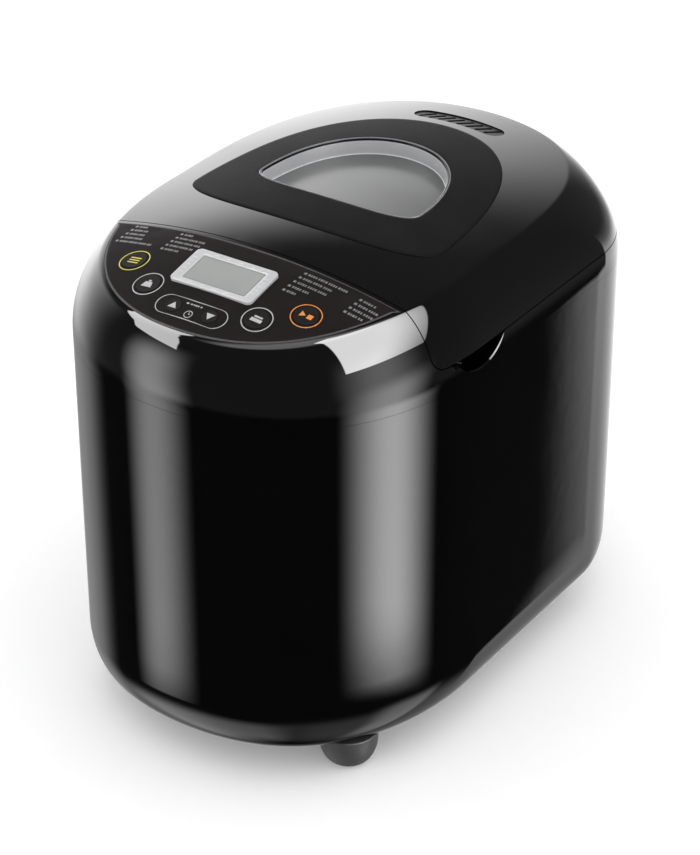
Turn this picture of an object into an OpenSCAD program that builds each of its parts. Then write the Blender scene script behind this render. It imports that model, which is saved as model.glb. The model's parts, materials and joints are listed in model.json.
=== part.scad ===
// Bread machine: a round-fronted housing, a sloping key panel, a hinged lid with a
// window, and a kneading pan turned by a motor and a belt. X right, Y back, Z up.
// The origin is on the floor, under the middle of the machine.

/* [Body] */
// Width across the sides
body_w = 224; // [216:1:232]
// Reach of the front wall ahead of the origin
body_front = 170; // [166:1:174]
// Reach of the rear wall behind the origin
body_back = 164; // [162:0.5:164]
// Height of the seam between the housing and the upper frame
seam_z = 218.5; // [215:0.5:219]
// Height of the split between the upper frame and the lid
split_z = 232; // [231:0.5:232.5]
// Height of the crown of the lid
crown_z = 276.5; // [274:0.5:279]
// Height of the underside of the housing above the floor
floor_gap = 20; // [16:1:22]
// Wall thickness of the plastic shells
wall = 3; // [2.5:0.1:3.2]

/* [Panel and keys] */
// Place of the joint between the panel and the lid
panel_back = -87; // [-90:0.5:-85]
// Radius of the four round keys
key_r = 6.5; // [6:0.1:6.6]
// Radius of the two timer keys
timer_r = 4.4; // [4:0.1:4.5]
// Clearance round each key
key_gap = 0.25; // [0.2:0.05:0.3]
// Travel of a key
key_travel = 0.8; // [0.5:0.1:1]

/* [Baking chamber and pan] */
// Inner width of the chamber
chamber_w = 174; // [172:1:176]
// Inner depth of the chamber
chamber_d = 190; // [188:1:192]
// Place of the kneading axis behind the origin
axis_y = 28; // [26:1:30]
// Width of the pan
pan_w = 124; // [116:1:128]
// Depth of the pan
pan_d = 150; // [140:1:152]
// Height of the pan's rim above the floor
pan_rim_z = 190; // [180:1:192]
// Reach of the pan's handle from its pivots
handle_reach = 50; // [44:1:52]

/* [Drive] */
// Diameter of the drive shafts
shaft_d = 8; // [7:0.5:8]
// Running clearance on the diameter of a bearing
running_gap = 0.1; // [0.06:0.02:0.16]
// Belt radius of the large pulley
big_pulley_r = 45; // [40:1:46]
// Belt radius of the motor pulley
small_pulley_r = 9; // [8:0.5:10]
// Place of the motor's axis ahead of the origin
motor_y = -118; // [-120:1:-116]

/* [Hinge] */
// Diameter of the hinge pin
pin_d = 4; // [3:0.5:4.5]
// Radius of the hinge barrels
barrel_r = 5.5; // [5:0.1:5.5]

/* [Hidden] */
$fn = 48;

half_w = body_w / 2;
touch = 0.15;               // gap between fixed pieces that sit in each other
clear = 0.4;                // gap between the lid and the frame
plan_n = 12;                // steps along each quarter of the plan
side_front = -48;           // where the straight sides start
side_back = 76;             // and where they end
curl_z = 222;               // height at which the walls start to lean in
lean = 60;                  // how far round the quarter ellipse the lean goes
crease_w = 95;              // half width at the crease round the top
crease_front = -158;
crease_back = 135;
bottom_round = 24;          // height of the rounding under the housing
bottom_inset = 10;          // how far the rounding comes in
deck_z = 227;               // top of the ledge that the lid closes on
deck_t = 3;
display_y = -115;           // middle of the display
liner_z = 246;              // underside of the lid's liner
flange_z = deck_z + 2.4;    // underside of the liner's flange
chamber_z = 51;             // underside of the chamber
sheet = 1.2;                // thickness of the chamber's sheet steel
pan_z = 66;                 // underside of the pan
element_z = 66;             // height of the heating element's rod
element_d = 6.4;
bracket_z = 46;             // underside of the plate that carries the drive
bracket_top = 48;
hinge_y = 164.5;
hinge_z = split_z + 0.2;
knuckle_in = 21.6;          // half length of the lid's knuckle
knuckle_mid = 28.1;         // middle of each of the frame's knuckles
knuckle_half = 6;
notch_y = -49.5;            // middle of the finger notches
notch_r = 28.5;
notch_z = 250;
notch_depth = 12.6;
pane_drop = 8.4;            // depth of the window's pane below the crown
corner_r = 9;               // rounding of the lid's front lower corners
belt_z = 34;
belt_h = 8;
belt_t = 2;
belt_gap = 0.3;
KEYS = [[-53, -119.6], [-33.5, -133.7], [-11, -142.5], [11, -142.5], [33.5, -133.7], [53, -119.6]];
FEET = [[-74, -114], [74, -114], [-79, 91], [79, 91]];

gloss = [0.03, 0.03, 0.035];
dark = [0.10, 0.10, 0.11];
steel = [0.72, 0.73, 0.75];
tin = [0.55, 0.56, 0.58];
board_green = [0.06, 0.30, 0.16];

// ---- shape rules ----

// Height of the crowned top over a point of the plan
function top_z(x, y) = crown_z - 11.6 * pow(x / 95, 2) - 24 * pow(max(0, -y) / 165, 3)
                       - 6.5 * pow(max(0, y - 10) / 95, 2);
// Slopes of the top, in degrees, sideways and fore and aft
function tilt_x(y) = atan((y < 0 ? 72 * pow(y / 165, 2) / 165 : 0) - 13 * max(0, y - 10) / 9025);
function tilt_y(x) = atan(23.2 * x / 9025);

function bezier(a, b, c, d, t) = a * pow(1 - t, 3) + 3 * b * pow(1 - t, 2) * t
                                 + 3 * c * (1 - t) * t * t + d * pow(t, 3);
function quarter(q) = [for (i = [0:plan_n]) bezier(q[0], q[1], q[2], q[3], i / plan_n)];
function mirrored(half) = concat(half, [for (i = [len(half) - 2:-1:1]) [-half[i][0], half[i][1]]]);

// Plan of the walls, moved in by e
function wall_plan(e) = let (w = half_w - e, f = e - body_front, b = body_back - e)
    mirrored(concat(
        quarter([[0, f], [0.8 * w, f], [w, side_front - 0.4 * (side_front - f)], [w, side_front]]),
        quarter([[w, side_back], [w, (side_back + b) / 2], [w / 2, b], [0, b]])));
// Plan of the crease round the top, moved in by e
function crease_plan(e) = let (w = crease_w - e, f = crease_front + e, b = crease_back - e)
    mirrored(concat(
        quarter([[0, f], [0.58 * w, f], [1.02 * w, 0.77 * f], [w, -30]]),
        quarter([[w, 0], [w, 0.63 * b], [0.74 * w, b], [0, b]])));
// Pulls a plan in towards a centre by e
function shrink(plan, e, c) = [for (p = plan) p + (c - p) * (e / norm(c - p))];
function scaled(plan, s, c) = [for (p = plan) c + (p - c) * s];
function on_top(plan, rise) = [for (p = plan) [p[0], p[1], top_z(p[0], p[1]) + rise]];
function at_height(plan, z) = [for (p = plan) [p[0], p[1], z]];
function lean_ring(e, a) = let (low = wall_plan(e), high = crease_plan(e),
                                f = (1 - cos(a)) / (1 - cos(lean)), g = sin(a) / sin(lean))
    [for (i = [0:len(low) - 1])
        let (p = low[i] * (1 - f) + high[i] * f, zc = top_z(high[i][0], high[i][1]) - e)
        [p[0], p[1], curl_z + (zc - curl_z) * g]];
function joined(lists) = [for (l = lists) for (p = l) p];

// Closed body from rings stacked upwards; first and last points close its ends
module stack(rings, low, high) {
    n = len(rings[0]);
    m = len(rings);
    polyhedron(
        points = concat(joined(rings), [low, high]),
        faces = concat(
            [for (j = [0:m - 2]) for (i = [0:n - 1]) let (k = (i + 1) % n)
                [j * n + i, (j + 1) * n + i, (j + 1) * n + k]],
            [for (j = [0:m - 2]) for (i = [0:n - 1]) let (k = (i + 1) % n)
                [j * n + i, (j + 1) * n + k, j * n + k]],
            [for (i = [0:n - 1]) [m * n, i, (i + 1) % n]],
            [for (i = [0:n - 1]) [m * n + 1, (m - 1) * n + (i + 1) % n, (m - 1) * n + i]]));
}

// Closed band: the rings go round its cross-section
module band(rings) {
    n = len(rings[0]);
    m = len(rings);
    polyhedron(
        points = joined(rings),
        faces = concat(
            [for (j = [0:m - 1]) for (i = [0:n - 1]) let (k = (i + 1) % n, l = (j + 1) % m)
                [j * n + i, l * n + i, l * n + k]],
            [for (j = [0:m - 1]) for (i = [0:n - 1]) let (k = (i + 1) % n, l = (j + 1) % m)
                [j * n + i, l * n + k, j * n + k]]));
}

// The whole crowned top, from the seam up, moved in by e
module top_form(e, z0) {
    c = [0, -10];
    stack(concat([at_height(wall_plan(e), z0), at_height(wall_plan(e), curl_z)],
                 [for (a = [12:12:lean]) lean_ring(e, a)],
                 [for (s = [0.8, 0.55, 0.28]) on_top(scaled(crease_plan(e), s, c), -e)]),
          [c[0], c[1], z0], [c[0], c[1], top_z(c[0], c[1]) - e]);
}

// Slab that follows the crowned top over a plan, between two depths
module crown_slab(plan, c, lo, hi) {
    stack([for (s = [0.35, 0.7, 1]) on_top(scaled(plan, s, c), lo),
           for (s = [1, 0.7, 0.35]) on_top(scaled(plan, s, c), hi)],
          [c[0], c[1], top_z(c[0], c[1]) + lo], [c[0], c[1], top_z(c[0], c[1]) + hi]);
}
// Ring that follows the crowned top between two plans with the same number of points
module crown_ring(outer, inner, lo, hi) {
    mid = (outer + inner) / 2;
    band([on_top(outer, lo), on_top(outer, hi), on_top(mid, hi),
          on_top(inner, hi), on_top(inner, lo), on_top(mid, lo)]);
}

module rounded(w, d, r) {
    square([w - 2 * r, d], center = true);
    square([w, d - 2 * r], center = true);
    for (x = [-1, 1]) for (y = [-1, 1])
        translate([x * (w / 2 - r), y * (d / 2 - r)]) circle(r);
}
module prism(plan, z0, z1) {
    translate([0, 0, z0]) linear_extrude(z1 - z0) polygon(plan);
}
module on_axis(z) { translate([0, axis_y, z]) children(); }
module on_motor(z) { translate([0, motor_y, z]) children(); }
module on_panel(x, y) {
    translate([x, y, top_z(x, y)]) rotate([tilt_x(y), tilt_y(x), 0]) children();
}
module tube(d, bore, h) {
    difference() {
        cylinder(d = d, h = h);
        translate([0, 0, -1]) cylinder(d = bore, h = h + 2);
    }
}

// ---- plans of the window, its surround, the vent and the key panel ----

function d_plan(w, back, front, bow) = mirrored(concat(
    quarter([[0, front - bow], [0.62 * w, front - bow],
             [0.97 * w, front - 0.3 * bow], [w, front + 9]]),
    quarter([[w, front + 16], [0.96 * w, 0.62 * back], [0.52 * w, back], [0, back]])));
window_c = [0, 8];
window_plan = d_plan(50.5, 56.5, -22, 5);
surround_c = [0, 10];
surround_plan = d_plan(77.5, 92.5, -45, 13);
panel_c = [0, -118];
panel_margin = 2;           // band between the crease and the key panel
// Closed plan of the key panel, e inside the crease and squared off at its back edge
function key_panel(e) = let (cut = panel_back - e, w = 90 - e,
                             p = [for (q = crease_plan(e)) if (q[1] < cut - 2) q])
    concat([for (q = p) if (q[0] >= 0) q],
           [for (k = [1, 0.5, 0, -0.5, -1]) [k * w, cut]],
           [for (q = p) if (q[0] < 0) q]);
vent_c = [0, 107];
vent_r = 7;                 // half width of the steam vent
vent_bend = 118;            // radius of the vent's middle line
vent_half = 10.4;           // half of the angle that the vent spans
function vent_arc(r, a) = [r * sin(a), r * cos(a) - vent_bend + vent_c[1]];
function vent_end(side, r, a) = vent_arc(vent_bend, side * vent_half)
                                + r * [sin(a + side * vent_half), cos(a + side * vent_half)];
function vent_plan(e) = let (r = vent_r - e)
    concat([for (i = [-4:4]) vent_arc(vent_bend - r, i * vent_half / 4)],
           [for (a = [150:-30:30]) vent_end(1, r, a)],
           [for (i = [4:-1:-4]) vent_arc(vent_bend + r, i * vent_half / 4)],
           [for (a = [330:-30:210]) vent_end(-1, r, a)]);

// ---- housing ----

module main_housing() color(gloss) difference() {
    inner_round = bottom_round - wall;
    band(concat(
        [for (a = [0:18:90]) at_height(wall_plan(bottom_inset * (1 - sin(a))),
                                       floor_gap + bottom_round * (1 - cos(a)))],
        [at_height(wall_plan(0), seam_z - touch), at_height(wall_plan(wall), seam_z - touch)],
        [for (a = [90:-30:30]) at_height(wall_plan(wall + bottom_inset * (1 - sin(a))),
                                         floor_gap + wall + inner_round * (1 - cos(a)))],
        [at_height(wall_plan(wall + bottom_inset), floor_gap)]));
    for (x = [-24:8:24]) translate([x - 1.75, body_back - 20, 80]) cube([3.5, 30, 46]);
    translate([0, body_back - 20, 48]) rotate([-90, 0, 0]) cylinder(d = 14, h = 30);
}

module base_tray() color(dark) {
    difference() {
        prism(wall_plan(bottom_inset + wall + touch), floor_gap, floor_gap + wall);
        for (x = [-32:8:32]) translate([x - 2, 30, floor_gap - 1]) cube([4, 70, wall + 2]);
        for (p = FEET) translate([p[0] * 0.9, p[1] * 0.9, floor_gap - 1])
            cylinder(d = 4, h = wall + 2);
    }
    for (x = [-58, 58]) for (y = [-60, 110])
        translate([x, y, floor_gap + wall]) tube(10, 3.4, bracket_z - floor_gap - wall);
}

module foot() {
    rotate_extrude() polygon(concat(
        [[0, 0], [7, 0]],
        [for (a = [0:15:75]) [7 + 9 * sin(a + 15), 15 - 15 * cos(a + 15)]],
        [[16, floor_gap - touch], [0, floor_gap - touch]]));
}
module foot_at(i) color(dark) translate([FEET[i][0], FEET[i][1], 0]) foot();
module foot_front_left() foot_at(0);
module foot_front_right() foot_at(1);
module foot_rear_left() foot_at(2);
module foot_rear_right() foot_at(3);

module base_screws() color(steel) for (p = FEET)
    translate([p[0] * 0.9, p[1] * 0.9, floor_gap]) {
        translate([0, 0, wall]) cylinder(d = 7, h = 2.2);
        translate([0, 0, -touch]) cylinder(d = 3.8, h = wall + 1);
    }

module cord_gland() color(dark) translate([0, body_back, 48]) rotate([-90, 0, 0]) difference() {
    union() {
        translate([0, 0, 0.2]) cylinder(d1 = 20, d2 = 15, h = 5);
        translate([0, 0, -6]) cylinder(d = 13.7, h = 7);
        translate([0, 0, -8]) cylinder(d = 19, h = 4.2);
    }
    translate([0, 0, -10]) cylinder(d = 7.5, h = 20);
}

// ---- upper frame and key panel ----

module notch_block(r, x0, x1) {
    for (s = [-1, 1]) translate([s * (x0 + x1) / 2, notch_y, notch_z]) rotate([0, 90, 0])
        cylinder(r = r, h = x1 - x0, center = true);
}
module barrel(x0, x1, r) {
    translate([x0, hinge_y, hinge_z]) rotate([0, 90, 0]) cylinder(r = r, h = x1 - x0);
}

// Everything above the split and behind the panel, seen from the side, kept back by g
module lid_zone(g) {
    r = corner_r - g;
    translate([-150, 0, 0]) rotate([90, 0, 90]) linear_extrude(300) polygon(concat(
        [[220, split_z + g], [220, 320], [panel_back + g, 320]],
        [for (a = [0:15:90])
            [panel_back + corner_r - r * cos(a), split_z + corner_r - r * sin(a)]]));
}

module upper_frame() color(gloss) difference() {
    union() {
        difference() {
            top_form(0, seam_z);
            intersection() {
                top_form(wall, seam_z - 2);
                translate([-200, -200, 0]) cube([400, 200 + panel_back - 4, 400]);
            }
            intersection() {
                prism(wall_plan(wall), seam_z - 2, deck_z - deck_t);
                translate([-200, panel_back - 1, 0]) cube([400, 400, 400]);
            }
            intersection() {
                prism(wall_plan(wall + 0.2), deck_z, split_z + 1);
                translate([-200, panel_back, 0]) cube([400, 400, 400]);
            }
            lid_zone(0);
            prism(key_panel(panel_margin + 2.8), 245, 300);
            crown_slab(key_panel(panel_margin), panel_c, -1.2, 12);
        }
        intersection() {
            notch_block(notch_r + 2.5, half_w - notch_depth - 2.2, half_w - 2);
            translate([-200, -150, seam_z]) cube([400, 200, split_z - seam_z]);
        }
        for (s = [-1, 1]) {
            barrel(s * knuckle_mid - knuckle_half, s * knuckle_mid + knuckle_half, barrel_r);
            translate([s * knuckle_mid - knuckle_half, 152, hinge_z - barrel_r])
                cube([2 * knuckle_half, hinge_y - 152, barrel_r - 0.2]);
        }
    }
    translate([0, axis_y, seam_z - 2]) linear_extrude(30) rounded(chamber_w - 2, chamber_d - 2, 25);
    notch_block(notch_r, half_w - notch_depth, half_w + 5);
    barrel(-knuckle_in - 0.3, knuckle_in + 0.3, barrel_r + 0.4);
    barrel(-60, 60, pin_d / 2);
}

module panel_overlay() color([0.05, 0.045, 0.045]) difference() {
    crown_slab(key_panel(panel_margin + touch), panel_c, -1.15, 0);
    for (i = [0:5]) on_panel(KEYS[i][0], KEYS[i][1]) translate([0, 0, -4])
        cylinder(r = (i == 2 || i == 3 ? timer_r : key_r) + key_gap, h = 8);
    on_panel(0, display_y) translate([0, 0, -6]) linear_extrude(12)
        square([50.4, 27.4], center = true);
}

module display_bezel() color([0.78, 0.78, 0.79]) on_panel(0, display_y) difference() {
    translate([0, 0, -3]) linear_extrude(3.5) rounded(50, 27, 3);
    translate([0, 0, -4]) linear_extrude(6) square([38.4, 19.4], center = true);
}

module display_glass() color([0.66, 0.70, 0.66]) on_panel(0, display_y)
    translate([0, 0, -3]) linear_extrude(3.1) square([38, 19], center = true);

module control_board() color(board_green) {
    on_panel(0, -124) translate([0, 0, -14]) {
        difference() {
            translate([-57, -20, 0]) cube([114, 38, 1.6]);
            for (x = [-52, 52]) for (y = [-15, 13]) translate([x, y, -1]) cylinder(d = 3.2, h = 4);
        }
        translate([-26, -2, 1.6]) cube([52, 16, 5]);
    }
    for (k = KEYS) on_panel(k[0], k[1]) translate([0, 0, -13]) cylinder(d = 5, h = 7.2);
}

module key(i, r) color(dark) on_panel(KEYS[i][0], KEYS[i][1]) {
    translate([0, 0, -1.9]) cylinder(r = r, h = 2.15);
    translate([0, 0, -2.6]) cylinder(r = r + 0.8, h = 0.9);
    translate([0, 0, -4.6]) cylinder(d = 5, h = 2.5);
}
module menu_key() key(0, key_r);
module weight_key() key(1, key_r);
module timer_up_key() key(2, timer_r);
module timer_down_key() key(3, timer_r);
module crust_key() key(4, key_r);
module start_key() key(5, key_r);

// ---- lid ----

module at_liner_screws(z) {
    for (x = [-93.6, 93.6]) for (y = [-40, 20, 75]) translate([x, y, z]) children();
}

module lid_shell() color(gloss) difference() {
    union() {
        intersection() {
            difference() {
                top_form(0, seam_z);
                difference() {
                    intersection() {
                        top_form(wall, seam_z - 2);
                        translate([-200, panel_back + clear + wall, 0]) cube([400, 400, 400]);
                    }
                    at_liner_screws(seam_z) cylinder(d = 6, h = 100);
                }
                prism(surround_plan, 250, 300);
                prism(vent_plan(0), 250, 300);
            }
            lid_zone(clear);
        }
        at_liner_screws(deck_z + 2.4 + sheet) cylinder(d = 6, h = 4);
        barrel(-knuckle_in, knuckle_in, barrel_r);
        translate([-knuckle_in, 156, hinge_z + 0.2])
            cube([2 * knuckle_in, hinge_y - 156, barrel_r - 0.2]);
    }
    for (s = [-1, 1]) barrel(s * knuckle_mid - knuckle_half - clear, s * knuckle_mid + knuckle_half + clear,
                             barrel_r + clear);
    barrel(-60, 60, pin_d / 2 + running_gap / 2);
    at_liner_screws(seam_z) cylinder(d = 2.2, h = 237 - seam_z);
}

module window_surround() color(dark) {
    hole = shrink(window_plan, -touch, window_c);
    crown_ring(shrink(surround_plan, touch, surround_c), hole, -3.8, 0.5);
    crown_ring(shrink(surround_plan, -5, surround_c), hole, -5, -3.6);
    crown_ring(shrink(window_plan, -3.2, window_c), hole, 0.1 - pane_drop, -3.6);
}

module window_trim() color(steel)
    crown_ring(window_plan, shrink(window_plan, 1.4, window_c), 0.1 - pane_drop, 0.9);

module window_glass() color([0.62, 0.64, 0.66], 0.6)
    crown_slab(shrink(window_plan, -3, window_c), window_c, -pane_drop - 2.5, -pane_drop);

module vent_grille() color(dark) difference() {
    crown_slab(vent_plan(touch), vent_c, -5.5, -0.8);
    for (x = [-21:6:21]) translate([x, vent_c[1] - 0.05 * abs(x), 250]) rotate([0, 0, -35])
        linear_extrude(30) rounded(2.6, 11, 1.2);
}

module lid_liner() color(steel) difference() {
    union() {
        on_axis(flange_z) linear_extrude(sheet) rounded(192, 206, 34);
        on_axis(flange_z) linear_extrude(liner_z + sheet - flange_z)
            rounded(chamber_w - 2, chamber_d - 2, 25);
    }
    on_axis(deck_z) linear_extrude(liner_z - deck_z)
        rounded(chamber_w - 2 - 2 * sheet, chamber_d - 2 - 2 * sheet, 24);
    prism(shrink(window_plan, 2, window_c), 240, 260);
    for (x = [-20:8:20]) translate([x, 100, 240]) cylinder(d = 4, h = 12);
    at_liner_screws(deck_z) cylinder(d = 2.2, h = 10);
}

module liner_screws() color(tin) at_liner_screws(deck_z + 1) {
    cylinder(d = 4.6, h = 1.4);
    cylinder(d = 2.2, h = 9);
}

module lid_seal() color([0.55, 0.16, 0.12]) on_axis(deck_z + 0.4) linear_extrude(2) difference() {
    rounded(182, 198, 30);
    rounded(174, 190, 26);
}

module hinge_pin() color(steel)
    barrel(-knuckle_mid - knuckle_half, knuckle_mid + knuckle_half, pin_d / 2);

// ---- baking chamber ----

module chamber() color(tin) on_axis(0) difference() {
    union() {
        translate([0, 0, chamber_z]) linear_extrude(deck_z - deck_t - chamber_z - touch)
            rounded(chamber_w + 2 * sheet, chamber_d + 2 * sheet, 27.2);
        translate([0, 0, deck_z - deck_t - touch - sheet]) linear_extrude(sheet)
            rounded(chamber_w + 14, chamber_d + 14, 33);
    }
    translate([0, 0, chamber_z + sheet]) linear_extrude(200) rounded(chamber_w, chamber_d, 26);
    translate([0, 0, chamber_z - 1]) cylinder(d = 16, h = 10);
    for (x = [-26, 26]) translate([x, -chamber_d / 2 + 10, element_z]) rotate([90, 0, 0])
        cylinder(d = 7.4, h = 20);
    translate([-chamber_w / 2 + 5, 0, 110]) rotate([0, -90, 0]) cylinder(d = 8.4, h = 20);
}

module element_straight(x, y, len, turn) {
    translate([x, y, element_z]) rotate([90, 0, turn])
        cylinder(d = element_d, h = len, center = true);
}
module element_corner(x, y, turn) {
    translate([x, y, element_z]) rotate([0, 0, turn]) rotate_extrude(angle = 90)
        translate([20, 0]) circle(d = element_d);
}
module heating_element() color(tin) on_axis(0) {
    ex = chamber_w / 2 - 5.5;
    ey = chamber_d / 2 - 5.5;
    for (s = [-1, 1]) element_straight(s * ex, 0, 2 * (ey - 20), 0);
    element_straight(0, ey, 2 * (ex - 20), 90);
    for (s = [-1, 1]) element_straight(s * (34 + ex - 20) / 2, -ey, ex - 20 - 34, 90);
    element_corner(ex - 20, ey - 20, 0);
    element_corner(20 - ex, ey - 20, 90);
    element_corner(20 - ex, 20 - ey, 180);
    element_corner(ex - 20, 20 - ey, 270);
    for (s = [-1, 1]) {
        translate([s * 34, -ey - 8, element_z]) rotate([0, 0, s > 0 ? 90 : 0])
            rotate_extrude(angle = 90) translate([8, 0]) circle(d = element_d);
        translate([s * 26, -ey - 8, element_z]) rotate([90, 0, 0]) cylinder(d = element_d, h = 8);
        translate([s * 26, -ey - 14, element_z]) rotate([90, 0, 0]) cylinder(d = 3, h = 9);
    }
}

module element_clips() color(steel) on_axis(0) for (s = [-1, 1]) for (y = [-45, 45])
    translate([s * (chamber_w / 2 - 5.5), y, chamber_z + sheet]) difference() {
        translate([-3, -4, 0]) cube([6, 8, 13.8]);
        translate([0, 5, element_z - chamber_z - sheet]) rotate([90, 0, 0])
            cylinder(d = element_d, h = 10);
    }

module pan_socket() color(tin) on_axis(chamber_z + sheet) {
    difference() {
        union() {
            cylinder(d = 96, h = 1.5);
            tube(88, 80, 11);
        }
        translate([0, 0, -1]) cylinder(d = 40, h = 5);
    }
    for (a = [0, 180]) rotate([0, 0, a]) translate([36.9, -3, 8.6]) cube([5, 6, 2.4]);
}

module temperature_probe() color(steel) translate([0, axis_y, 110]) {
    translate([-chamber_w / 2 + 4, 0, 0]) rotate([0, -90, 0]) cylinder(d = 8, h = 16);
    translate([-chamber_w / 2 - sheet - 0.1, 0, 0]) rotate([0, -90, 0]) cylinder(d = 13, h = 3);
}

module heat_shield() color(steel) difference() {
    for (box = [[-91, 182, 0.8], [-91, 0.8, 40], [90.2, 0.8, 40]])
        translate([box[0], -79, 48]) cube([box[1], box[2], 162]);
    for (x = [-26, 26]) translate([x, -90, element_z]) rotate([-90, 0, 0]) cylinder(d = 9, h = 20);
}

// ---- bread pan ----

module bread_pan() color([0.16, 0.16, 0.17]) on_axis(0) {
    difference() {
        union() {
            translate([0, 0, pan_z]) linear_extrude(pan_rim_z - pan_z) rounded(pan_w, pan_d, 22);
            translate([0, 0, pan_rim_z - 1.6]) linear_extrude(1.6)
                rounded(pan_w + 7, pan_d + 7, 25);
        }
        translate([0, 0, pan_z + 2]) linear_extrude(200) rounded(pan_w - 3.2, pan_d - 3.2, 20.4);
        translate([0, 0, pan_z - 1]) cylinder(d = 14, h = 5);
    }
    for (s = [-1, 1]) translate([0, s * (pan_d / 2 - 0.8), pan_rim_z - 9]) rotate([-s * 90, 0, 0]) {
        cylinder(d = 5, h = 8.2);
        cylinder(d = 9, h = 1.8);
    }
}

// Cast ring under the pan, with the two lugs that lock into the socket
module pan_base() color(tin) on_axis(pan_z) {
    translate([0, 0, -10]) tube(73, 69, 10);
    translate([0, 0, -1.5]) tube(70, 20.6, 1.5);
    for (a = [0, 180]) rotate([0, 0, a]) translate([35.5, -3, -9.4]) cube([3.9, 6, 2.4]);
}

module pan_bearing() color(steel) on_axis(pan_z - 6) difference() {
    union() {
        cylinder(d = 14, h = 14);
        cylinder(d = 20, h = 5.9);
    }
    translate([0, 0, -1]) cylinder(d = shaft_d + running_gap, h = 20);
}

// Bail handle, folded down to the left; it turns on the two pivots of the pan
module pan_handle() color([0.25, 0.25, 0.26]) on_axis(pan_rim_z - 9) rotate([0, 14, 0]) {
    arm_y = pan_d / 2 + 5.4;
    for (s = [-1, 1]) difference() {
        union() {
            translate([0, s * arm_y, 0]) rotate([90, 0, 0]) cylinder(d = 11, h = 3, center = true);
            translate([-handle_reach, s * arm_y, 0]) rotate([0, 90, 0])
                cylinder(d = 2.8, h = handle_reach - 4);
        }
        translate([0, s * arm_y, 0]) rotate([90, 0, 0]) cylinder(d = 5.1, h = 10, center = true);
    }
    translate([-handle_reach, 0, 0]) rotate([90, 0, 0])
        cylinder(d = 3.4, h = 2 * arm_y + 3, center = true);
    translate([-handle_reach, 0, 0]) rotate([90, 0, 0]) cylinder(d = 8, h = 90, center = true);
}

module pan_shaft() color(steel) on_axis(0) {
    translate([0, 0, 56]) cylinder(d = shaft_d, h = 34);
    translate([-15, -3, 56]) cube([30, 6, 3.6]);
}

module kneading_paddle() color([0.20, 0.20, 0.21]) on_axis(pan_z + 8.6) {
    difference() {
        union() {
            cylinder(d = 22, h = 4);
            translate([0, 0, 4]) cylinder(d = 17, h = 20);
        }
        translate([0, 0, -1]) cylinder(d = shaft_d, h = 30);
    }
    difference() {
        union() {
            translate([7, -2, 0]) cube([36, 4, 26]);
            translate([43, 0, 0]) cylinder(d = 4, h = 26);
        }
        translate([18, -5, 34]) rotate([-90, 0, 0]) cylinder(r = 14, h = 10);
    }
}

// ---- drive ----

module drive_shaft() color(steel) on_axis(0) {
    translate([0, 0, 29]) cylinder(d = shaft_d, h = 25);
    translate([0, 0, 53.6]) cylinder(d = 34, h = 1.9);
    for (s = [-1, 1]) translate([0, s * 12, 54]) cylinder(d = 5, h = 5.4);
}

module drive_bearing() color([0.62, 0.48, 0.25]) on_axis(0) difference() {
    union() {
        translate([0, 0, 44.6]) cylinder(d = 15.7, h = 8.6);
        translate([0, 0, bracket_top + touch]) cylinder(d = 26, h = chamber_z - bracket_top - 2 * touch);
    }
    translate([0, 0, 40]) cylinder(d = shaft_d + running_gap, h = 20);
}

module pulley(r, hub, bore) {
    difference() {
        union() {
            cylinder(r = r, h = belt_h + 1.2);
            for (z = [-1, belt_h + 1.2]) translate([0, 0, z]) cylinder(r = r + 3, h = 1);
            translate([0, 0, -3]) cylinder(d = hub, h = belt_h + 6);
        }
        translate([0, 0, -5]) cylinder(d = bore, h = 30);
        if (r > 30) for (a = [0:60:300]) rotate([0, 0, a]) translate([r * 0.58, 0, -5])
            cylinder(r = r * 0.19, h = 30);
    }
}
module drive_pulley() color(dark) on_axis(belt_z - 0.6) pulley(big_pulley_r, 20, shaft_d);
module motor_pulley() color(steel) on_motor(belt_z - 0.6) pulley(small_pulley_r, 13, 6);

// Plan of the belt's loop round both pulleys, e outside their belt radii
function belt_plan(e) = let (d = axis_y - motor_y, a = asin((big_pulley_r - small_pulley_r) / d))
    concat([for (t = [-a:(180 + 2 * a) / 36:180 + a + 0.01])
                [(big_pulley_r + e) * cos(t), axis_y + (big_pulley_r + e) * sin(t)]],
           [for (t = [180 + a:(180 - 2 * a) / 12:360 - a + 0.01])
                [(small_pulley_r + e) * cos(t), motor_y + (small_pulley_r + e) * sin(t)]]);
module drive_belt() color([0.08, 0.08, 0.08]) difference() {
    prism(belt_plan(belt_gap + belt_t), belt_z, belt_z + belt_h);
    prism(belt_plan(belt_gap), belt_z - 1, belt_z + belt_h + 1);
}

module drive_bracket() color(tin) {
    difference() {
        translate([-68, -156, bracket_z]) cube([136, 276, bracket_top - bracket_z]);
        for (s = [-1, 1]) translate([s * 68, -156, bracket_z]) rotate([0, 0, 45])
            cube([62, 62, 10], center = true);
        on_axis(40) cylinder(d = 16, h = 20);
        on_motor(40) cylinder(d = 20, h = 20);
    }
    for (x = [-50, 50]) for (y = [-30, 90]) translate([x, y, bracket_top])
        tube(9, 3.4, chamber_z - bracket_top - touch);
}

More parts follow.
